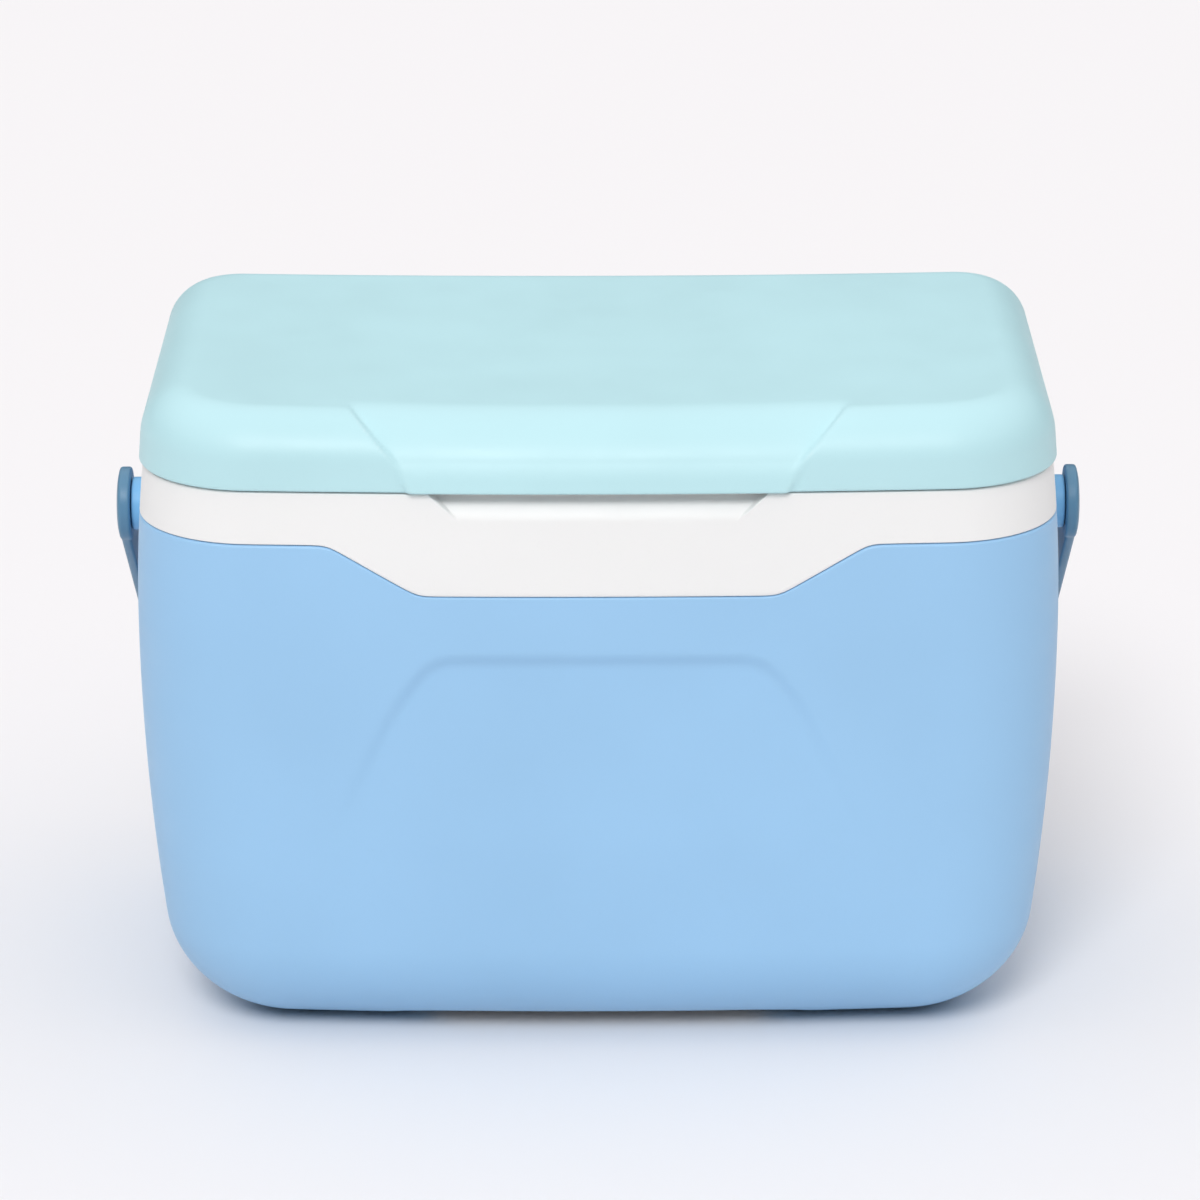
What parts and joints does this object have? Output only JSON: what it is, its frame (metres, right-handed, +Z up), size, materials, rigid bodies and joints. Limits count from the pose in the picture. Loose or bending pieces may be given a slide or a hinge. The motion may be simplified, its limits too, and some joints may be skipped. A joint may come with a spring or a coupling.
{
  "type": "cooler chest",
  "caption": "Hard-sided cooler chest with a foam-filled tapered body, a hinged insulated lid, a finger recess under the lid's lip and a swinging bail handle.",
  "frame": {"origin": "on the floor under the middle of the chest, at the flat bridge of the base's standing face", "axes": "+X to the chest's right as it is seen from the front, which faces -Y; +Z up"},
  "size_m": [0.4708, 0.3079, 0.3196],
  "materials": {
    "shell_blue": "satin",
    "lid_aqua": "satin",
    "collar_white": "satin",
    "hinge_white": "satin",
    "handle_blue": "satin",
    "mount_blue": "satin",
    "foam": "matte",
    "steel": "satin"
  },
  "bodies": {
    "chest": {"outer_shell": "shell_blue", "body_foam": "foam", "inner_liner": "collar_white", "collar_hinge_screws": "steel", "handle_mount_left": "mount_blue", "handle_pin_left": "handle_blue", "collar_hinge_leaf_left": "hinge_white", "hinge_pin_left": "steel", "handle_mount_right": "mount_blue", "handle_pin_right": "handle_blue", "collar_hinge_leaf_right": "hinge_white", "hinge_pin_right": "steel"},
    "lid": {"lid_shell": "lid_aqua", "lid_foam": "foam", "lid_liner": "collar_white", "lid_hinge_screws": "steel", "lid_hinge_leaf_left": "hinge_white", "lid_hinge_leaf_right": "hinge_white"},
    "handle": {"bail_handle": "handle_blue"}
  },
  "joints": [
    {"name": "lid_hinge", "type": "hinge", "parent": "chest", "child": "lid", "pos_m": [0, 0.1399, 0.2839], "axis": [-1, 0, 0], "range_deg": [0, 100]},
    {"name": "handle_swing", "type": "hinge", "parent": "chest", "child": "handle", "pos_m": [0, 0, 0.2335], "axis": [1, 0, 0], "range_deg": [0, 247]}
  ]
}
